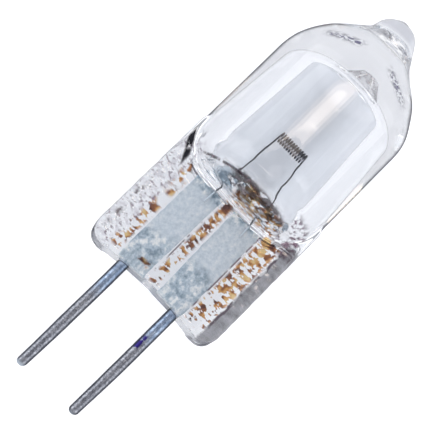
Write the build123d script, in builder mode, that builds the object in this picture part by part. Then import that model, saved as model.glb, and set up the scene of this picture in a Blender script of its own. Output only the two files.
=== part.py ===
from build123d import *
import os
from math import cos, radians, sin, tan

# Quartz halogen capsule lamp with two pins, lying on the side of its bulb.
# Sizes are in mm. A height is measured along the lamp, from the lower end of the pinch.

# Contact pins
pin_spacing = 4.0
pin_diameter = 0.74
pin_end_diameter = 0.64
pin_free_length = 8.1
pin_straight_length = 4.5
pin_seal_length = 3.3
pin_seal_sides = 12
pin_weld_flat = 0.08

# Sealing foils
foil_width = 2.1
foil_length = 6.4
foil_thickness = 0.04
foil_spacing = 2.96
foil_shift = -0.1
foil_height = 0.65
foil_corner = 0.12

# Filament
wire_diameter = 0.1
wire_sides = 8
coil_turns = 12
coil_pitch = 0.17
coil_height = 0.72
coil_depth = 0.42
coil_shift = 0.15
filament_rise = 3.76
leg_weld_length = 1.0
leg_kink_drop = 1.1
leg_kink_out = 0.13
leg_spread = 0.3

# Pinch
pinch_flare = 0.15
pinch_length = 7.1
pinch_rail_thickness = 3.0
pinch_web_thickness = 2.5
pinch_rail_width = 0.95
pinch_round = 0.4
pinch_web_round = 0.3
pinch_end_chamfer = 0.15
pinch_corner = 0.9
pinch_rise = 2.6
pinch_fade = 1.0
pinch_bury = 0.1

# Bulb, outside
bulb_diameter = 9.45
bulb_bottom_round = 2.0
bulb_joint_round = 0.3
dome_height = 18.23
dome_round = 5.44
dome_end = 1.0
neck_diameter = 4.24
neck_round = 2.0
tip_root = 0.8

# Drawn-off tip
tip_length = 2.865
tip_round = 1.7
tip_taper = 28
tip_lean = 6

# Bulb, inside
floor_thickness = 1.25
floor_wall = 1.525
top_wall = 2.025
top_drop = 1.35
cavity_floor_chamfer = 0.5
cavity_top_chamfer = 0.6
bore_drop = 0.38
bore_base_diameter = 2.4
bore_diameter = 0.7
bore_step = 0.17

# The lamp lies on the side of its bulb, with its axis along +X, its tip forward and the face of the
# pinch up. The origin is on the ground below the middle of its length. In each plane, local x goes
# across the lamp and local y along it, from the lower end of the pinch.
bulb_radius = bulb_diameter / 2
tip_base = dome_height + bulb_radius - neck_diameter / 2 - tip_root
tip_height = tip_base + tip_length
pinch_start = (-(tip_height - pin_free_length) / 2, 0, bulb_radius)
lamp_axis = Axis(pinch_start, (1, 0, 0))
face = Plane(origin=pinch_start, x_dir=(0, -1, 0), z_dir=(0, 0, 1))
end = Plane(origin=pinch_start, x_dir=(0, -1, 0), z_dir=(1, 0, 0))

# Contact pins: round wire, drawn a little thinner towards its rounded free end. Inside the pinch it
# has small flats, and is coined flat on one side, where it is welded to the back of its foil.
pin_depth = foil_thickness / 2 + pin_diameter / 2 - pin_weld_flat
pin_plane = face.offset(-pin_depth)


def make_pin(place):
    """One pin, with its axis at the given distance to the right of the lamp's axis."""
    with BuildPart() as pin:
        with BuildSketch(pin_plane):
            with BuildLine():
                tip = JernArc(
                    start=(place, -pin_free_length),
                    tangent=(1, 0),
                    radius=pin_end_diameter / 2,
                    arc_size=90,
                )
                Polyline(
                    tip @ 1,
                    (place + pin_diameter / 2, -pin_straight_length),
                    (place + pin_diameter / 2, 0),
                    (place, 0),
                    tip @ 0,
                )
            make_face()
        revolve(axis=Axis(pin_plane.from_local_coords((place, 0, 0)), pin_plane.y_dir))
        with BuildSketch(end):
            with Locations((place, pin_depth)):
                RegularPolygon(pin_diameter / 2, pin_seal_sides)
        extrude(amount=pin_seal_length)
        with BuildSketch(face.offset(-foil_thickness / 2)):
            with Locations((place, (foil_height + pin_seal_length) / 2)):
                Rectangle(2 * pin_diameter, pin_seal_length - foil_height)
        extrude(amount=pin_diameter, mode=Mode.SUBTRACT)
    return pin.part


# Sealing foils: thin sheet with rounded corners, flat in the middle of the pinch.
def make_foil(place):
    """One foil, with its middle at the given distance to the right of the lamp's axis."""
    with BuildPart() as foil:
        with BuildSketch(face.offset(-foil_thickness / 2)):
            with Locations((place, foil_height + foil_length / 2)):
                RectangleRounded(foil_width, foil_length, foil_corner)
        extrude(amount=foil_thickness)
    return foil.part


# Filament: one wire, up the left leg, round a flat coil from left to right, and down the right
# leg. Both legs lie on the front of the foils, and the back of the coil is in line with them. So
# thin a wire is drawn with flat sides and with sharp bends.
cavity_floor = pinch_length + floor_thickness
filament_height = cavity_floor + filament_rise
leg_depth = (foil_thickness + wire_diameter) / 2
leg_end = foil_height + foil_length - leg_weld_length
coil_left = coil_shift - coil_turns * coil_pitch / 2
coil_right = coil_shift + coil_turns * coil_pitch / 2
coil_low = filament_height - (coil_height - wire_diameter) / 2
coil_high = filament_height + (coil_height - wire_diameter) / 2
coil_front = leg_depth + coil_depth - wire_diameter
kink_height = filament_height - leg_kink_drop

left_leg = [
    (coil_left - leg_kink_out - leg_spread, leg_end, leg_depth),
    (coil_left - leg_kink_out, kink_height, leg_depth),
]
right_leg = [
    (coil_right + leg_kink_out, kink_height, leg_depth),
    (coil_right + leg_kink_out + leg_spread, leg_end, leg_depth),
]
coil = []
for turn in range(coil_turns):
    start = coil_left + turn * coil_pitch
    coil.append((start, coil_high, leg_depth))
    coil.append((start + coil_pitch / 4, coil_high, coil_front))
    coil.append((start + coil_pitch / 2, coil_low, coil_front))
    coil.append((start + coil_pitch * 3 / 4, coil_low, leg_depth))

with BuildPart() as filament:
    with BuildLine(face) as wire_path:
        Polyline(*left_leg, *coil, *right_leg)
    with BuildSketch(Plane(origin=wire_path.line @ 0, x_dir=face.z_dir, z_dir=wire_path.line % 0)):
        RegularPolygon(wire_diameter / 2, wire_sides)
    sweep(path=wire_path.line, transition=Transition.RIGHT)
filament.part.label = "filament"

pin_left = make_pin(-pin_spacing / 2)
pin_left.label = "pin_left"
pin_right = make_pin(pin_spacing / 2)
pin_right.label = "pin_right"
foil_left = make_foil(foil_shift - foil_spacing / 2)
foil_left.label = "foil_left"
foil_right = make_foil(foil_shift + foil_spacing / 2)
foil_right.label = "foil_right"

# Pinch: the tube pressed flat, so its sides keep the round of the tube. Each face has a thinner
# web between two side rails. Its upper end is buried in the bottom of the bulb.
pinch_width = bulb_diameter + pinch_flare
pinch_top = pinch_length + pinch_rise
web_width = pinch_width - 2 * pinch_rail_width
web_step = (pinch_rail_thickness - pinch_web_thickness) / 2
with BuildPart() as pinch:
    with BuildSketch(end):
        Circle(pinch_width / 2)
        Rectangle(pinch_width, pinch_rail_thickness, mode=Mode.INTERSECT)
        fillet(vertices(), pinch_round)
        for turn in (0, 180):
            with Locations(Rotation(0, 0, turn) * Pos(0, -(pinch_web_thickness + web_step) / 2)):
                Trapezoid(web_width, web_step, 45, mode=Mode.SUBTRACT)
        flanks = vertices().filter_by(lambda corner: abs(corner.X) < web_width / 2 + web_step)
        fillet(flanks, pinch_web_round)
    extrude(amount=pinch_top)
    chamfer(pinch.faces().sort_by(Axis.X)[0].edges(), pinch_end_chamfer)
    with BuildSketch(face):
        with BuildLine():
            FilletPolyline(
                (-bulb_radius + pinch_bury, pinch_top),
                (-pinch_width / 2, pinch_top - pinch_fade),
                (-pinch_width / 2, 0),
                (pinch_width / 2, 0),
                (pinch_width / 2, pinch_top - pinch_fade),
                (bulb_radius - pinch_bury, pinch_top),
                radius=pinch_corner,
            )
            Line((-bulb_radius + pinch_bury, pinch_top), (bulb_radius - pinch_bury, pinch_top))
        make_face()
    extrude(amount=pinch_rail_thickness, both=True, mode=Mode.INTERSECT)

# Cavity: widest at its floor, narrower under the dome, with the drawn-down bore of the tip on top.
cavity_top = dome_height - top_drop
bore_height = dome_height - bore_drop
floor_radius = bulb_radius - floor_wall
top_radius = bulb_radius - top_wall
with BuildPart() as cavity:
    with BuildSketch(face):
        with BuildLine():
            Polyline(
                (0, cavity_floor),
                (floor_radius - cavity_floor_chamfer, cavity_floor),
                (floor_radius, cavity_floor + cavity_floor_chamfer),
                (top_radius, cavity_top - cavity_top_chamfer),
                (top_radius - cavity_top_chamfer, cavity_top),
                (bore_base_diameter / 2, cavity_top + bore_step),
                (bore_diameter / 2, bore_height),
                (0, bore_height),
                (0, cavity_floor),
            )
        make_face()
    revolve(axis=lamp_axis)

# Envelope: a quartz tube with a round bottom, closed by a dome above and by the pinch below. The
# tip is where the filling tube was melted off, and it leans a little to the left.
tip_slope = radians(tip_taper)
tip_side = (tip_round * cos(tip_slope), tip_length - tip_round * (1 - sin(tip_slope)))
tip_flare = (tip_side[1] + tip_root) * tan(tip_slope)
tip_centre = face.from_local_coords((0, tip_base, 0))
tip_plane = Plane(origin=tip_centre, x_dir=(0, -1, 0), z_dir=(0, 0, 1)).rotated((0, 0, tip_lean))

with BuildPart() as envelope:
    with BuildSketch(face):
        with BuildLine():
            FilletPolyline(
                (0, pinch_length),
                (bulb_radius, pinch_length),
                (bulb_radius, dome_height),
                (dome_end, dome_height + bulb_radius - dome_end),
                (0, dome_height + bulb_radius - dome_end),
                radius=[bulb_bottom_round, dome_round, 0],
            )
            Line((0, dome_height + bulb_radius - dome_end), (0, pinch_length))
        make_face()
    revolve(axis=lamp_axis)
    with BuildSketch(tip_plane):
        with BuildLine():
            Polyline((0, -tip_root), (tip_side[0] + tip_flare, -tip_root), tip_side)
            JernArc(
                start=tip_side,
                tangent=(-sin(tip_slope), cos(tip_slope)),
                radius=tip_round,
                arc_size=90 - tip_taper,
            )
            Line((0, tip_length), (0, -tip_root))
        make_face()
    revolve(axis=Axis(tip_centre, tip_plane.y_dir))
    fillet(envelope.edges(Select.NEW), neck_round)
    add(pinch.part)
    joint_limit = face.from_local_coords((0, pinch_length + bulb_joint_round, 0)).X
    joint = envelope.edges(Select.NEW).filter_by(lambda line: line.center().X < joint_limit)
    fillet(joint, bulb_joint_round)
    add(cavity.part, mode=Mode.SUBTRACT)
    for metal in (pin_left, pin_right, foil_left, foil_right, filament.part):
        add(metal, mode=Mode.SUBTRACT)
envelope.part.label = "envelope"

os.makedirs("parts", exist_ok=True)
export_step(envelope.part, "parts/envelope.step")
export_step(filament.part, "parts/filament.step")
export_step(foil_left, "parts/foil_left.step")
export_step(foil_right, "parts/foil_right.step")
export_step(pin_left, "parts/pin_left.step")
export_step(pin_right, "parts/pin_right.step")
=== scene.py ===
from math import cos, pi, radians, sin, tan

import bmesh
import bpy
from mathutils import Matrix, Vector, noise


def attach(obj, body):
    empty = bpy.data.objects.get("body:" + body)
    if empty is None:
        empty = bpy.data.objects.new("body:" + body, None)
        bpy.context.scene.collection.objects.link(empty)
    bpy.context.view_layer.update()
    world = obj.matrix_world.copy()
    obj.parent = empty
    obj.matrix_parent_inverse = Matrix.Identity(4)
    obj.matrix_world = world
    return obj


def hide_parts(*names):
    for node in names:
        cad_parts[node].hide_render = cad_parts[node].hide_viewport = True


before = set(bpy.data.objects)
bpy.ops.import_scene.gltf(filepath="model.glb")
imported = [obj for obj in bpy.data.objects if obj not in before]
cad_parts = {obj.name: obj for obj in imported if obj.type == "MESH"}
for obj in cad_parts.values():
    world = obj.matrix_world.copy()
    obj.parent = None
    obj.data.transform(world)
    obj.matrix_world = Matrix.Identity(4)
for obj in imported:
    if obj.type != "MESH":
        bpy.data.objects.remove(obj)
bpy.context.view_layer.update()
scene = bpy.context.scene

# Camera. It looks down on the face of the pinch, from a little towards the pins, and is rolled so
# that the lamp runs up to the right. Lamp places are (right of the axis, along the axis from the
# pinch's lower end, out of the face), in mm.
mm = 0.001
pinch_end_x = -7.4
axis_height = 4.725
lamp = Matrix(((0, 1, 0, pinch_end_x), (-1, 0, 0, 0), (0, 0, 1, axis_height), (0, 0, 0, 1)))
to_row = Matrix.Scale(mm, 4) @ lamp
face_turn = radians(14)
roll = radians(44.7)
camera_distance = 101.4
sensor_width = 36
field_of_view = radians(13.94)
toward = Vector((-sin(face_turn), 0, cos(face_turn)))
up_the_lamp = Vector((cos(face_turn), 0, sin(face_turn)))
to_the_left = toward.cross(up_the_lamp)
image_right = up_the_lamp * cos(roll) - to_the_left * sin(roll)
image_up = up_the_lamp * sin(roll) + to_the_left * cos(roll)
aim = to_row @ Vector((-0.30, 6.07, 0))
place = aim + toward * camera_distance * mm
camera = bpy.data.objects.new("camera", bpy.data.cameras.new("camera"))
scene.collection.objects.link(camera)
turn = Matrix((image_right, image_up, toward)).transposed().to_4x4()
camera.matrix_world = Matrix.Translation(place) @ turn
camera.data.sensor_width = sensor_width
camera.data.lens = sensor_width / 2 / tan(field_of_view / 2)
camera.data.clip_start = 0.01
camera.data.clip_end = 5
scene.camera = camera


# Envelope: fused quartz tube, closed by a dome with a drawn-off tip, and pressed flat at its lower
# end round the foils. It is blown and pressed as one piece, and its hollow is sealed.
def rise(low, high, value):
    """Zero up to low, one from high on, and a straight line between them."""
    return max(0.0, min(1.0, (value - low) / (high - low)))


def ease(low, high, value):
    """As rise, with both ends of the line smoothed."""
    share = rise(low, high, value)
    return share * share * (3 - 2 * share)


def turned(profile, rounds, steps, step_length):
    """A shape turned round the lamp's axis from a few points, some of them rounded."""
    bm = bmesh.new()
    verts = [bm.verts.new((radius, height, 0)) for radius, height in profile]
    for first, second in zip(verts, verts[1:]):
        bm.edges.new((first, second))
    points = [Vector(point) for point in profile]
    for number in range(1, len(points) - 1):
        before = points[number] - points[number - 1]
        after = points[number + 1] - points[number]
        if rounds[number]:
            offset = rounds[number] * tan(abs(before.angle_signed(after)) / 2)
            bmesh.ops.bevel(bm, geom=[verts[number]], offset=offset, offset_type="OFFSET", segments=14,
                            profile=0.5, affect="VERTICES", material=-1)
    for edge in list(bm.edges):
        pieces = int(edge.calc_length() / step_length)
        if pieces > 0:
            bmesh.ops.subdivide_edges(bm, edges=[edge], cuts=pieces)
    bmesh.ops.spin(bm, geom=bm.verts[:] + bm.edges[:], cent=(0, 0, 0), axis=(0, 1, 0), angle=2 * pi,
                   steps=steps, use_merge=True, dvec=(0, 0, 0))
    bmesh.ops.remove_doubles(bm, verts=bm.verts[:], dist=0.001)
    bmesh.ops.recalc_face_normals(bm, faces=bm.faces[:])
    return bm


def mesh_of(bm, name):
    mesh = bpy.data.meshes.new(name)
    bm.to_mesh(mesh)
    bm.free()
    return mesh


def put(mesh, name, material):
    """Places a mesh made in lamp places as a finished piece."""
    mesh.transform(to_row)
    mesh.shade_smooth()
    piece = bpy.data.objects.new(name, mesh)
    scene.collection.objects.link(piece)
    mesh.materials.clear()
    mesh.materials.append(material)
    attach(piece, "root")
    return piece


bulb_radius = 4.72
bulb_foot = 7.1
foot_round = 2.0
dome_corner = 18.23
dome_round = 5.44
dome_start = 15.98
dome_end = (1.0, 21.95)
bulb = turned(
    [(0, bulb_foot), (bulb_radius, bulb_foot), (bulb_radius, dome_corner), dome_end, (0, dome_end[1])],
    [0, foot_round, dome_round, 0, 0], steps=160, step_length=0.4)
tip_lean = radians(10.5)
tip_foot = 20.1
tip_round = 1.1
tip = turned([(0, 19.0), (2.81, 19.0), (1.18, 22.2), (0, 22.92)], [0, 0, tip_round, 0],
             steps=96, step_length=0.3)
bmesh.ops.rotate(tip, verts=tip.verts[:], cent=(0, tip_foot, 0), matrix=Matrix.Rotation(tip_lean, 3, "Z"))

# the pinch is a block with a thick rail down each side and a thinner web between them
pinch_half_width = 4.79
pinch_length = 9.6
pinch_corner = 0.9
pinch_round = 0.4
rail = 1.49
web = 1.25
rail_width = 0.95
rail_slope = 0.25
pinch = bmesh.new()
bmesh.ops.create_cube(pinch, size=1)
bmesh.ops.scale(pinch, verts=pinch.verts[:], vec=(2 * pinch_half_width, pinch_length, 2 * rail))
bmesh.ops.translate(pinch, verts=pinch.verts[:], vec=(0, pinch_length / 2, 0))
low_corners = [e for e in pinch.edges if e.verts[0].co.y + e.verts[1].co.y < 0.01
               and abs(e.verts[0].co.z - e.verts[1].co.z) > rail]
bmesh.ops.bevel(pinch, geom=low_corners, offset=pinch_corner, segments=10, profile=0.5, affect="EDGES",
                material=-1)
outline = [e for e in pinch.edges if abs(e.verts[0].co.z - e.verts[1].co.z) < 0.01
           and e.verts[0].co.y + e.verts[1].co.y < 2 * pinch_length - 0.01]
bmesh.ops.bevel(pinch, geom=outline, offset=pinch_round, segments=6, profile=0.5, affect="EDGES", material=-1)
web_edge = pinch_half_width - rail_width
for place_across in (-web_edge, -web_edge + rail_slope, web_edge - rail_slope, web_edge):
    bmesh.ops.bisect_plane(pinch, geom=pinch.verts[:] + pinch.edges[:] + pinch.faces[:],
                           plane_co=(place_across, 0, 0), plane_no=(1, 0, 0))
for vert in pinch.verts:
    if abs(vert.co.x) < web_edge - 0.2:
        vert.co.z *= web / rail

# bulb, tip and pinch are fused, and their joints softened
blank = bpy.data.meshes.new("blank")
for shape in (tip, pinch):
    part_mesh = mesh_of(shape, "part")
    bulb.from_mesh(part_mesh)
    bpy.data.meshes.remove(part_mesh)
bulb.to_mesh(blank)
bulb.free()
blank_object = bpy.data.objects.new("blank", blank)
scene.collection.objects.link(blank_object)
fuse = blank_object.modifiers.new("fuse", "REMESH")
fuse.mode = "VOXEL"
fuse.voxel_size = 0.1
fused = bpy.data.meshes.new_from_object(blank_object.evaluated_get(bpy.context.evaluated_depsgraph_get()))
bpy.data.objects.remove(blank_object)
quartz = bmesh.new()
quartz.from_mesh(fused)
bpy.data.meshes.remove(fused)
for _ in range(14):
    bmesh.ops.smooth_vert(quartz, verts=quartz.verts[:], factor=0.5, use_axis_x=True, use_axis_y=True,
                          use_axis_z=True)

# the fusing leaves faint steps where the wall runs along its grid, so the bulb is turned true again
for vert in quartz.verts:
    across, along, out = vert.co
    radius = Vector((across, out)).length
    off_pinch = rise(1.9, 2.4, abs(out))
    if along < bulb_foot + foot_round:
        true_radius = bulb_radius - foot_round
        true_radius += max(0.0, foot_round ** 2 - (bulb_foot + foot_round - along) ** 2) ** 0.5
        share = off_pinch * rise(7.3, 7.7, along)
    elif along < dome_start:
        true_radius = bulb_radius
        share = max(off_pinch, rise(10.2, 10.7, along))
    else:
        true_radius = bulb_radius - dome_round
        true_radius += max(0.0, dome_round ** 2 - (along - dome_start) ** 2) ** 0.5
        share = 1 - rise(19.2, 19.6, along)
    if share > 0 and radius > 1:
        grown = (radius + share * (true_radius - radius)) / radius
        vert.co.x *= grown
        vert.co.z *= grown

# the dome slopes a little lower on its right, and the tip is a little thinner on that side
for vert in quartz.verts:
    across, along, out = vert.co
    shoulder = ease(16.4, 18.8, along) * (1 - ease(20.9, 21.8, along))
    vert.co.y -= shoulder * (0.12 + 0.36 * ease(0.3, 2.4, across) + 0.10 * ease(-0.8, -2.0, across))
    vert.co.x -= 0.12 * ease(19.4, 20.4, along) * ease(0.4, 1.4, across)

# the hollow narrows towards its top, and ends in the stub of the bore that the tip closed
hollow_floor = 8.35
hollow_shift = 0.25
hollow = turned(
    [(0, hollow_floor), (3.2, hollow_floor), (2.7, 16.88), (1.1, 17.05), (0.35, 17.85), (0, 17.85)],
    [0, 0.8, 1.0, 0.3, 0.2, 0], steps=128, step_length=0.25)
for vert in hollow.verts:
    low_share = 1 - rise(hollow_floor, hollow_floor + 1.2, vert.co.y)
    vert.co.y += low_share * (0.10 * noise.noise(vert.co * 0.8) + 0.05 * noise.noise(vert.co * 2.2))
    vert.co.x += hollow_shift * ease(16.9, 17.2, vert.co.y)
bmesh.ops.recalc_face_normals(hollow, faces=hollow.faces[:])
bmesh.ops.reverse_faces(hollow, faces=hollow.faces[:])
hollow_mesh = mesh_of(hollow, "hollow")
quartz.from_mesh(hollow_mesh)
bpy.data.meshes.remove(hollow_mesh)

# the press leaves the pinch uneven, most of all its rails and its lower edge
for vert in quartz.verts:
    along = vert.co.y
    amount = 1 - rise(7.9, 9.4, along)
    if amount > 0:
        broad = noise.noise(vert.co * 0.9 + Vector((3, 0, 0)))
        fine = noise.noise(vert.co * 2.4 + Vector((0, 7, 0)))
        on_rail = rise(3.3, 3.9, abs(vert.co.x))
        lift = amount * (-0.012 + broad * 0.006 + (0.003 + 0.03 * on_rail) * fine)
        vert.co += vert.normal * min(0.0, lift)
    if along < 1.0:
        middle = max(0.0, 1 - abs(vert.co.x / 3.4)) ** 0.5
        ripple = 0.10 * noise.noise(Vector((vert.co.x * 0.9, 2.0, 0))) * (1 - abs(vert.co.x) / 4.8)
        vert.co.y += max(0.0, 0.36 * middle + ripple) * (1 - along)
envelope_mesh = mesh_of(quartz, "envelope_glass")


def feed(tree, socket, value):
    """Sets a socket to a number or a colour, or links an output to it."""
    if isinstance(value, tuple):
        socket.default_value = (*value, 1)
    elif isinstance(value, (int, float)):
        socket.default_value = value
    else:
        tree.links.new(value, socket)


def ramp(tree, source, stops):
    """A colour ramp from (position, colour) stops."""
    node = tree.nodes.new("ShaderNodeValToRGB")
    for _ in range(len(stops) - 2):
        node.color_ramp.elements.new(0.5)
    for element, (position, colour) in zip(node.color_ramp.elements, stops):
        element.position = position
        element.color = (*colour, 1)
    feed(tree, node.inputs["Fac"], source)
    return node.outputs["Color"]


def mapped(tree, low, high, source, first=0.0, last=1.0):
    """A smooth step from first, where the source is at low, to last, where it is at high."""
    node = tree.nodes.new("ShaderNodeMapRange")
    node.interpolation_type = "SMOOTHSTEP"
    sockets = ("From Min", "From Max", "To Min", "To Max", "Value")
    for socket, value in zip(sockets, (low, high, first, last, source)):
        feed(tree, node.inputs[socket], value)
    return node.outputs["Result"]


def maths(tree, operation, first, second):
    node = tree.nodes.new("ShaderNodeMath")
    node.operation = operation
    feed(tree, node.inputs[0], first)
    feed(tree, node.inputs[1], second)
    return node.outputs[0]


def mixed(tree, factor, first, second):
    """A mix of two colours."""
    node = tree.nodes.new("ShaderNodeMix")
    node.data_type = "RGBA"
    feed(tree, node.inputs["Factor"], factor)
    feed(tree, node.inputs[6], first)
    feed(tree, node.inputs[7], second)
    return node.outputs[2]


def mixed_shader(tree, factor, first, second):
    node = tree.nodes.new("ShaderNodeMixShader")
    feed(tree, node.inputs["Fac"], factor)
    feed(tree, node.inputs[1], first)
    feed(tree, node.inputs[2], second)
    return node.outputs["Shader"]


def plain_shader(tree, kind, colour):
    node = tree.nodes.new(kind)
    feed(tree, node.inputs["Color"], colour)
    return node.outputs["BSDF"]


def clouds(tree, vector, scale, detail, rough=0.55):
    node = tree.nodes.new("ShaderNodeTexNoise")
    node.inputs["Scale"].default_value = scale
    node.inputs["Detail"].default_value = detail
    node.inputs["Roughness"].default_value = rough
    feed(tree, node.inputs["Vector"], vector)
    return node.outputs[0]


def patches(tree, vector, scale, detail, low, high, rough=0.55):
    """Clouds cut off below low, so that they make patches."""
    return mapped(tree, low, high, clouds(tree, vector, scale, detail, rough))


def bumped(tree, strength, distance, height):
    node = tree.nodes.new("ShaderNodeBump")
    feed(tree, node.inputs["Strength"], strength)
    node.inputs["Distance"].default_value = distance
    feed(tree, node.inputs["Height"], height)
    return node


def facing(tree):
    """How far a surface turns away from the view."""
    node = tree.nodes.new("ShaderNodeLayerWeight")
    node.inputs["Blend"].default_value = 0.5
    return node.outputs["Facing"]


def separated(tree, vector):
    node = tree.nodes.new("ShaderNodeSeparateXYZ")
    feed(tree, node.inputs["Vector"], vector)
    return node.outputs["X"], node.outputs["Y"], node.outputs["Z"]


def new_material(name):
    material = bpy.data.materials.new(name)
    material.use_nodes = True
    tree = material.node_tree
    shader = tree.nodes["Principled BSDF"]
    place_node = tree.nodes.new("ShaderNodeTexCoord")
    return material, tree, shader, place_node.outputs["Object"]


def past(tree, source, low, high):
    """Rises to one along a coordinate, between two places in mm, or falls if the first is the higher."""
    return mapped(tree, low * mm, high * mm, source)


def zone(tree, source, low, high, soft):
    """One from low to high along a coordinate in mm, and fading out over soft on both sides."""
    risen = past(tree, source, low - soft, low + soft)
    fallen = past(tree, source, high + soft, high - soft)
    return maths(tree, "MULTIPLY", risen, fallen)


def product(tree, *masks):
    result = masks[0]
    for mask in masks[1:]:
        result = maths(tree, "MULTIPLY", result, mask)
    return result


def largest(tree, *masks):
    result = masks[0]
    for mask in masks[1:]:
        result = maths(tree, "MAXIMUM", result, mask)
    return result


quartz_glass, tree, shader, here = new_material("fused_quartz")
shader.inputs["Metallic"].default_value = 0
shader.inputs["Roughness"].default_value = 0.0
shader.inputs["IOR"].default_value = 1.458
shader.inputs["Transmission Weight"].default_value = 1
along, left, up = separated(tree, here)
front = past(tree, up, 5.3, 5.6)
upper_half = past(tree, up, 4.5, 5.0)
above_axis = maths(tree, "ADD", up, -axis_height * mm)
height_squared = maths(tree, "MULTIPLY", above_axis, above_axis)
squares = maths(tree, "ADD", maths(tree, "MULTIPLY", left, left), height_squared)
from_axis = maths(tree, "SQRT", squares, 0)
wall_start, wall_end = 3.4, 3.6
inside = past(tree, from_axis, wall_end, wall_start)
spread = tree.nodes.new("ShaderNodeVectorMath")
spread.operation = "MULTIPLY"
feed(tree, spread.inputs[0], here)
spread.inputs[1].default_value = (1.5, 0.8, 1.0)
flecks = spread.outputs[0]

# the inside of the bulb is greyed by a faint painted shade, lighter in patches low down
hollow_shade = ramp(tree, clouds(tree, here, 260, 3), [(0.3, (0.66, 0.69, 0.73)), (0.7, (0.80, 0.82, 0.85))])
lighter_patches = mapped(tree, 0.46, 0.58, clouds(tree, here, 620, 2), 0.0, 0.9)
lightened = product(tree, zone(tree, along, 1.4, 3.0, 0.4), lighter_patches)
shaded_hollow = maths(tree, "SUBTRACT", product(tree, inside, zone(tree, along, 1.3, 9.4, 0.2)), lightened)
tint = mixed(tree, largest(tree, shaded_hollow, 0), (0.92, 0.93, 0.95), hollow_shade)

# a dark deposit lies on the floor of the hollow, painted shade darkens the stub of its bore, and a painted
# shadow makes a dark line in the crease where the foot of the bulb meets the pinch
soot = product(tree, inside, zone(tree, along, 0.4, 1.15, 0.07), zone(tree, left, -2.5, 1.2, 0.3),
               past(tree, up, 5.4, 6.8), patches(tree, flecks, 2600, 6, 0.40, 0.50))
# painted shadow in the crease where the bulb meets the pinch
sloping = maths(tree, "ADD", along, maths(tree, "MULTIPLY", left, 0.08))
crease_shadow = product(tree, front, zone(tree, sloping, 0.40, 0.52, 0.04), zone(tree, left, 0.5, 3.3, 0.2),
                 patches(tree, here, 1700, 4, 0.40, 0.52))
# painted shade on the far wall of the bore's stub
side_seen = tree.nodes.new("ShaderNodeNewGeometry")
bore_shade = product(tree, side_seen.outputs["Backfacing"], past(tree, from_axis, 1.8, 1.4),
               zone(tree, along, 9.55, 10.7, 0.1),
               mapped(tree, 0.35, 0.6, clouds(tree, flecks, 2600, 3), 0.25, 0.55))

# amber stain in the gaps beside the foils, above them, and over the lower end of the left one
gap_middle = zone(tree, left, -0.22, 0.42, 0.12)
gap_right = zone(tree, left, -3.85, -2.55, 0.12)
gap_left = product(tree, zone(tree, left, 2.75, 3.55, 0.12), patches(tree, here, 900, 1, 0.42, 0.52))
in_gap = product(tree, largest(tree, gap_middle, gap_right, gap_left), zone(tree, along, -7.0, -0.3, 0.15))
above = product(tree, zone(tree, left, -2.9, 0.5, 0.2), zone(tree, along, -0.4, 0.35, 0.12))
thinning = mapped(tree, -0.0030, -0.0060, along, 0.0, 0.045)
thinned = maths(tree, "SUBTRACT", clouds(tree, flecks, 2900, 2), thinning)
stained = product(tree, largest(tree, in_gap, above), mapped(tree, 0.455, 0.50, thinned))
shifted = maths(tree, "MULTIPLY", clouds(tree, here, 1300, 3), 0.0012)
at_corner = product(tree, zone(tree, maths(tree, "ADD", left, shifted), 1.35, 2.3, 0.15),
                    zone(tree, maths(tree, "ADD", along, shifted), -6.1, -5.6, 0.12),
                    patches(tree, flecks, 2400, 3, 0.40, 0.50))
stain = product(tree, front, largest(tree, stained, at_corner))
amber = ramp(tree, clouds(tree, here, 2300, 1),
             [(0.32, (0.02, 0.004, 0.003)), (0.45, (0.11, 0.018, 0.003)), (0.55, (0.42, 0.12, 0.016)),
              (0.68, (0.55, 0.30, 0.07))])
tint = mixed(tree, stain, tint, amber)

# a thin dark line runs down the right edge of each foil
line_right = product(tree, zone(tree, left, -2.49, -2.40, 0.03), patches(tree, here, 1600, 3, 0.36, 0.50))
line_left = product(tree, zone(tree, left, 0.47, 0.55, 0.03), patches(tree, here, 1600, 3, 0.46, 0.56))
lines = product(tree, front, largest(tree, line_right, line_left), zone(tree, along, -6.3, -0.5, 0.15))
tint = mixed(tree, lines, tint, (0.05, 0.02, 0.035))

# dark grains on the left rail, and painted shade over the right rail, which has a dark inner edge
left_rail = product(tree, zone(tree, left, 3.3, 4.9, 0.15), zone(tree, along, -7.3, 0.6, 0.2))
grains = product(tree, front, left_rail, patches(tree, flecks, 4200, 5, 0.53, 0.62, 0.7))
mottle = product(tree, front, left_rail, mapped(tree, 0.46, 0.62, clouds(tree, flecks, 2300, 4), 0.0, 0.7))
blot = product(tree, front, zone(tree, left, 4.15, 4.45, 0.15), zone(tree, along, -6.4, -3.4, 0.4),
               patches(tree, here, 1300, 4, 0.49, 0.56))
wavering = maths(tree, "ADD", left, maths(tree, "MULTIPLY", clouds(tree, here, 900, 3), 0.0006))
# painted shade: the right rail is painted dark grey
right_rail_shade = product(tree, upper_half, zone(tree, wavering, -5.2, -3.6, 0.08),
                     zone(tree, along, -7.6, 0.2, 0.2))
right_rail_shade_tone = ramp(tree, clouds(tree, flecks, 1500, 4), [(0.3, (0.05, 0.05, 0.055)), (0.7, (0.20, 0.20, 0.22))])
inner_edge = product(tree, upper_half, zone(tree, wavering, -3.72, -3.56, 0.04),
                     zone(tree, along, -6.6, -0.3, 0.3), patches(tree, here, 1400, 3, 0.40, 0.52))
for mark, colour in ((mottle, (0.50, 0.47, 0.53)), (grains, (0.10, 0.06, 0.09)), (blot, (0.03, 0.02, 0.025)),
                     (right_rail_shade, right_rail_shade_tone), (inner_edge, (0.02, 0.012, 0.018))):
    tint = mixed(tree, mark, tint, colour)
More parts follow.
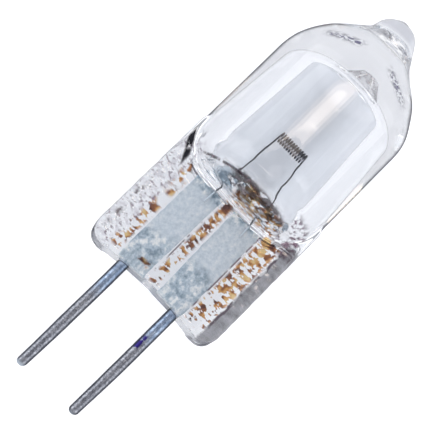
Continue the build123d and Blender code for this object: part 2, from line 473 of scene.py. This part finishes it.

# flecks of violet on the shoulders of the dome, fine grey rings round the neck of the tip, a greyer
# tip, and painted shade where the pinch joins the bulb
aside = maths(tree, "ABSOLUTE", maths(tree, "ADD", left, -0.0002), 0)
slanted = maths(tree, "ADD", along, maths(tree, "MULTIPLY", aside, 0.34))
shoulder = product(tree, front, zone(tree, slanted, 11.1, 11.65, 0.2), zone(tree, aside, 1.0, 3.1, 0.3),
                   patches(tree, flecks, 4400, 6, 0.44, 0.55, 0.65))
neck_rings = product(tree, upper_half, zone(tree, along, 12.65, 13.5, 0.15), zone(tree, left, -1.3, 1.2, 0.3),
                     patches(tree, flecks, 2800, 5, 0.48, 0.56))
# painted shade in the fillet where the left rail meets the foot of the bulb
crescent = maths(tree, "SUBTRACT", along, maths(tree, "MULTIPLY", left, 1.82))
junction_shade_left = product(tree, upper_half, zone(tree, left, 3.75, 4.6, 0.1),
                    zone(tree, crescent, -7.85, -7.1, 0.15), patches(tree, here, 1500, 3, 0.25, 0.42))
tip_grey = product(tree, zone(tree, along, 14.0, 14.95, 0.2), zone(tree, left, -0.6, 1.5, 0.2))
# painted shade where the right side of the pinch meets the foot of the bulb
junction_shade_right = product(tree, zone(tree, left, -4.4, -3.0, 0.15), zone(tree, along, -0.3, 1.3, 0.25),
                     patches(tree, flecks, 2400, 5, 0.43, 0.56))
for mark, colour in ((shoulder, (0.02, 0.017, 0.06)), (neck_rings, (0.16, 0.16, 0.20)),
                     (junction_shade_left, (0.01, 0.01, 0.015)), (tip_grey, (0.68, 0.69, 0.73)),
                     (junction_shade_right, (0.06, 0.028, 0.045))):
    tint = mixed(tree, mark, tint, colour)
feed(tree, shader.inputs["Base Color"], tint)

# the glass is faintly wavy, and pitted on the left rail
waves = bumped(tree, 0.03, 0.00005, clouds(tree, here, 420, 2))
pits = bumped(tree, maths(tree, "MULTIPLY", left_rail, 0.5), 0.00006, clouds(tree, flecks, 3000, 3))
feed(tree, pits.inputs["Normal"], waves.outputs["Normal"])
feed(tree, shader.inputs["Normal"], pits.outputs["Normal"])

# deposit and painted shade cover the glass, painted shade darkens its outline, and shadow rays and rays
# long caught in it pass through
grainy = ramp(tree, clouds(tree, flecks, 5200, 4, 0.7),
              [(0.40, (0.004, 0.002, 0.004)), (0.54, (0.035, 0.014, 0.022)), (0.68, (0.26, 0.17, 0.21))])
deposit_and_shade = plain_shader(tree, "ShaderNodeBsdfDiffuse", mixed(tree, junction_shade_left, grainy, (0.012, 0.012, 0.015)))
deposit_and_shade_cover = largest(tree, maths(tree, "MULTIPLY", soot, 0.85), maths(tree, "MULTIPLY", junction_shade_left, 0.9),
                  maths(tree, "MULTIPLY", crease_shadow, 0.8), bore_shade)
surface = mixed_shader(tree, deposit_and_shade_cover, shader.outputs["BSDF"], deposit_and_shade)
# painted shade along the outline of the glass, where it turns away from the view
outline_shade = plain_shader(tree, "ShaderNodeBsdfTransparent", (0.22, 0.22, 0.25))
outer_share = mapped(tree, wall_start * mm, wall_end * mm, from_axis, 0.35, 1.0)
outline_shade_weight = maths(tree, "MULTIPLY", mapped(tree, 0.70, 0.90, facing(tree), 0.0, 0.9), outer_share)
surface = mixed_shader(tree, outline_shade_weight, surface, outline_shade)
clear = plain_shader(tree, "ShaderNodeBsdfTransparent", (0.97, 0.975, 0.98))
rays = tree.nodes.new("ShaderNodeLightPath")
caught = maths(tree, "GREATER_THAN", rays.outputs["Ray Depth"], 8.5)
surface = mixed_shader(tree, largest(tree, rays.outputs["Is Shadow Ray"], caught), surface, clear)
feed(tree, tree.nodes["Material Output"].inputs["Surface"], surface)
envelope = put(envelope_mesh, "quartz_envelope", quartz_glass)
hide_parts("envelope")


# Filament: one tungsten wire, wound flat over a mandrel in twelve turns. A leg at each end runs
# down through the floor of the bulb, and is welded to the front of a foil.
wire_radius = 0.05
coil_left = -0.87
coil_turns = 12
coil_pitch = 0.17
coil_low, coil_high = 11.74, 12.36
coil_back, coil_front = 0.07, 0.39
left_leg = [(-1.30, 6.05), (-1.29, 6.3), (-1.03, 10.8), (-1.0, 11.1), (-0.96, 11.4), (-0.90, 12.2)]
right_leg = [(1.13, 11.5), (1.15, 11.3), (1.23, 11.0), (1.28, 10.7), (1.34, 9.9), (1.59, 6.3), (1.60, 6.05)]
route = [(across, along, coil_back) for across, along in left_leg]
for turn_number in range(coil_turns):
    start = coil_left + turn_number * coil_pitch
    wobble = 0.018 * sin(turn_number * 2.3)
    route += [(start, coil_high, coil_back), (start + 0.045, coil_high + wobble, coil_front),
              (start + 0.085, coil_low, coil_front), (start + 0.13, coil_low - wobble, coil_back)]
route += [(across, along, coil_back) for across, along in right_leg]
curve = bpy.data.curves.new("filament_line", "CURVE")
curve.dimensions = "3D"
spline = curve.splines.new("NURBS")
spline.points.add(len(route) - 1)
for point, at in zip(spline.points, route):
    point.co = (*at, 1)
spline.order_u = 3
spline.use_endpoint_u = True
curve.resolution_u = 8
curve.bevel_depth = wire_radius
curve.bevel_resolution = 3
curve.use_fill_caps = True
line = bpy.data.objects.new("filament_line", curve)
scene.collection.objects.link(line)
filament_mesh = bpy.data.meshes.new_from_object(line.evaluated_get(bpy.context.evaluated_depsgraph_get()))
bpy.data.objects.remove(line)

# the wire is dark, with a painted highlight in a band along the coil, and bluer at its welds
tungsten, tree, shader, here = new_material("tungsten")
along, left, _ = separated(tree, here)
grey = ramp(tree, clouds(tree, here, 9000, 4), [(0.3, (0.02, 0.021, 0.03)), (0.7, (0.08, 0.082, 0.10))])
# painted highlight across the front of the coil
coil_highlight = product(tree, zone(tree, along, 4.47, 4.60, 0.06), zone(tree, left, -1.05, 0.85, 0.05))
grey = mixed(tree, coil_highlight, grey, (0.50, 0.50, 0.55))
welded = past(tree, along, -0.2, -0.6)
feed(tree, shader.inputs["Base Color"], mixed(tree, welded, grey, (0.62, 0.70, 0.78)))
shader.inputs["Metallic"].default_value = 1
shader.inputs["Roughness"].default_value = 0.45
filament = put(filament_mesh, "filament_wire", tungsten)
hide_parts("filament")


# Foils: two strips of molybdenum foil, etched thin at their edges and sealed in the pinch. Each is
# torn off a little unevenly at the top, and crumpled where the pin is welded on behind it.
foil_width = 2.08
foil_length = 6.36
foil_centre = 3.85
foil_thickness = 0.036


def foil_mesh(middle, seed):
    bm = bmesh.new()
    bmesh.ops.create_grid(bm, x_segments=42, y_segments=128, size=0.5)
    bmesh.ops.scale(bm, verts=bm.verts[:], vec=(foil_width, foil_length, 1))
    bmesh.ops.translate(bm, verts=bm.verts[:], vec=(middle, foil_centre, 0))
    for vert in bm.verts:
        at = vert.co + Vector((seed, 0, 0))
        across = abs(vert.co.x - middle) / (foil_width / 2)
        top = rise(6.2, foil_centre + foil_length / 2, vert.co.y)
        vert.co.y += top * (0.10 * noise.noise(at * 3.1) + 0.06 * noise.noise(at * 8.0) - 0.08)
        vert.co.x += across * 0.03 * noise.noise(Vector((0, at.y * 2.5, seed)))
        inner = max(0.0, 1 - abs(vert.co.x) / 2.8)
        vert.co.x += (0.175 if middle > 0 else -0.175) * inner * (7.0 - vert.co.y) / 6.4
        weld = (1 - rise(2.8, 3.3, vert.co.y)) * max(0.0, 1 - across ** 4)
        vert.co.z += 0.008 * noise.noise(at * 1.6) + weld * 0.035 * noise.noise(at * 3.4)
        vert.co.z = max(-foil_thickness / 2, vert.co.z)
    bmesh.ops.solidify(bm, geom=bm.faces[:], thickness=foil_thickness)
    bmesh.ops.recalc_face_normals(bm, faces=bm.faces[:])
    return mesh_of(bm, "foil")


# painted shade and highlights of the crumples at the weld and at the torn top
molybdenum_foil, tree, shader, here = new_material("molybdenum_foil")
along, _, _ = separated(tree, here)
tone = ramp(tree, clouds(tree, here, 3200, 7, 0.75),
            [(0.36, (0.50, 0.60, 0.70)), (0.5, (0.62, 0.72, 0.82)), (0.66, (0.80, 0.86, 0.92))])
# painted shade and highlights on the crumples
crumple_shade_and_highlight = ramp(tree, clouds(tree, here, 2000, 6, 0.7),
               [(0.34, (0.12, 0.20, 0.29)), (0.48, (0.42, 0.54, 0.65)), (0.62, (0.95, 0.98, 1.0))])
ragged = maths(tree, "ADD", along, maths(tree, "MULTIPLY", clouds(tree, here, 700, 2), 0.0022))
at_weld = mapped(tree, -0.0027, -0.0036, ragged, 0.0, 0.8)
at_top = mapped(tree, 0.0000, 0.0005, ragged, 0.0, 0.95)
feed(tree, shader.inputs["Base Color"], mixed(tree, largest(tree, at_weld, at_top), tone, crumple_shade_and_highlight))
grain = bumped(tree, 0.35, 0.00003, clouds(tree, here, 3600, 4))
feed(tree, shader.inputs["Normal"], grain.outputs["Normal"])
shader.inputs["Metallic"].default_value = 0.35
shader.inputs["Roughness"].default_value = 0.5
for side, middle, seed in (("left", -1.58, 3.0), ("right", 1.38, 11.0)):
    foil = put(foil_mesh(middle, seed), "foil_sheet_" + side, molybdenum_foil)
    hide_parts("foil_" + side)


# Pins: round molybdenum wire, sealed in the pinch behind the foils. They are drawn a little
# thinner towards their rounded ends, and tarnished a mottled blue-grey.
pin_radius = 0.365
pin_end_radius = 0.315
pin_end_round = 0.29
pin_straight_length = 4.5
pin_seal_length = 3.3
pin_flat = 0.29
pin_depth = 0.31
pin_bend = 0.1


def pin_mesh(middle, length, seed):
    bm = turned([(0, -length), (pin_end_radius, -length), (pin_radius, -pin_straight_length),
                 (pin_radius, pin_seal_length), (0, pin_seal_length)], [0, pin_end_round, 0, 0, 0],
                steps=32, step_length=0.2)
    for vert in bm.verts:
        if vert.co.y > 0.65:
            vert.co.z = min(vert.co.z, pin_flat)
        free = rise(0, -8, vert.co.y)
        vert.co.x += 0.012 * free * sin(vert.co.y * 0.9 + seed) - pin_bend * free * free
        vert.co += vert.normal * min(0.0, 0.012 * noise.noise(vert.co * 2.1 + Vector((seed, 0, 0))))
    bmesh.ops.translate(bm, verts=bm.verts[:], vec=(middle, 0, -pin_depth))
    return mesh_of(bm, "pin")


# bluer near the pinch, painted shade at its edges, a painted highlight at the ends, a temper patch on the
# right pin
pin_metal, tree, shader, here = new_material("pin_metal")
along, left, _ = separated(tree, here)
tone = ramp(tree, clouds(tree, here, 6500, 8, 0.85),
            [(0.36, (0.07, 0.075, 0.09)), (0.5, (0.26, 0.27, 0.31)), (0.64, (0.60, 0.62, 0.68))])
blue = ramp(tree, clouds(tree, here, 3400, 7, 0.8),
            [(0.36, (0.12, 0.17, 0.27)), (0.5, (0.28, 0.36, 0.50)), (0.64, (0.55, 0.65, 0.80))])
temper = product(tree, zone(tree, along, -10.1, -9.1, 0.15), zone(tree, left, -1.98, -1.5, 0.06),
                 patches(tree, here, 2200, 3, 0.38, 0.48))
# painted shade at the pins' edges, where they turn away from the view, and a painted highlight at their ends
edge = mapped(tree, 0.08, 0.50, facing(tree))
for mark, colour in ((past(tree, along, -10.0, -8.5), blue), (temper, (0.03, 0.02, 0.17)),
                     (edge, (0.035, 0.04, 0.055)), (past(tree, along, -15.05, -15.3), (0.42, 0.47, 0.53))):
    tone = mixed(tree, mark, tone, colour)
feed(tree, shader.inputs["Base Color"], tone)
shader.inputs["Metallic"].default_value = 0.9
feed(tree, shader.inputs["Roughness"], mapped(tree, 0.3, 0.7, clouds(tree, here, 1200, 4), 0.22, 0.42))
for side, middle, length, seed in (("left", -2.0, 7.95, 1.0), ("right", 2.0, 7.8, 5.0)):
    pin = put(pin_mesh(middle, length, seed), "pin_wire_" + side, pin_metal)
    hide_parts("pin_" + side)


# Floor and light: a white table under the lamp, large soft lights above it, and a warm strip that
# shows as the pale streak down the front of the bulb.
floor = bpy.data.objects.new("floor", bpy.data.meshes.new("floor"))
bm = bmesh.new()
bmesh.ops.create_grid(bm, x_segments=1, y_segments=1, size=1.5)
bm.to_mesh(floor.data)
bm.free()
scene.collection.objects.link(floor)
table, tree, shader, here = new_material("white_table")
pale = ramp(tree, clouds(tree, here, 60, 3), [(0.3, (0.86, 0.885, 0.93)), (0.7, (0.90, 0.92, 0.96))])
feed(tree, shader.inputs["Base Color"], pale)
seen = tree.nodes.new("ShaderNodeLightPath")
shader.inputs["Emission Color"].default_value = (1, 0.98, 0.95, 1)
glow = mapped(tree, 0, 1, seen.outputs["Is Camera Ray"], 0.12, 0.4)
feed(tree, shader.inputs["Emission Strength"], glow)
shader.inputs["Roughness"].default_value = 0.8
shader.inputs["Specular IOR Level"].default_value = 0.1
floor.data.materials.append(table)


def softbox(name, at, size, power, colour=(1, 1, 1)):
    """A rectangular light that faces the middle of the lamp, from a place in m."""
    data = bpy.data.lights.new(name, "AREA")
    data.shape = "RECTANGLE"
    data.size, data.size_y = size
    data.energy = power
    data.color = colour
    light = bpy.data.objects.new(name, data)
    away = (Vector(at) - Vector((0, 0, axis_height * mm))).normalized()
    width_way = Vector((0, 1, 0)).cross(away).normalized()
    aimed = Matrix((width_way, away.cross(width_way), away)).transposed().to_4x4()
    light.matrix_world = Matrix.Translation(at) @ aimed
    scene.collection.objects.link(light)


softbox("left_box", (0.05, 0.42, 0.24), (0.6, 0.4), 0.75)
softbox("right_box", (0.05, -0.42, 0.24), (0.6, 0.4), 0.6)
softbox("warm_strip_wide", (0.0750, 0.014, 0.2095), (0.019, 0.13), 0.017, (1.0, 0.82, 0.66))
softbox("warm_strip", (0.0750, 0.014, 0.2090), (0.014, 0.09), 0.017, (1.0, 0.86, 0.73))
softbox("warm_strip_core", (0.0745, 0.014, 0.2085), (0.010, 0.05), 0.006, (1.0, 0.90, 0.80))

# the room is white near the horizon and darker overhead, which draws the outline of the glass
world = bpy.data.worlds.new("room")
world.use_nodes = True
tree = world.node_tree
sky = tree.nodes.new("ShaderNodeTexCoord")
_, _, height = separated(tree, sky.outputs["Generated"])
walls = ramp(tree, height, [(0.0, (1.0, 1.0, 1.0)), (0.4, (0.85, 0.86, 0.88)), (0.9, (0.36, 0.37, 0.40))])
feed(tree, tree.nodes["Background"].inputs["Color"], walls)
tree.nodes["Background"].inputs["Strength"].default_value = 1.15
scene.world = world
scene.view_settings.view_transform = "Standard"
scene.view_settings.look = "None"

# light crosses many walls of glass
bounces = 24
scene.cycles.max_bounces = bounces
scene.cycles.glossy_bounces = bounces
scene.cycles.transmission_bounces = bounces
scene.cycles.transparent_max_bounces = bounces
scene.cycles.caustics_refractive = True
scene.cycles.caustics_reflective = False
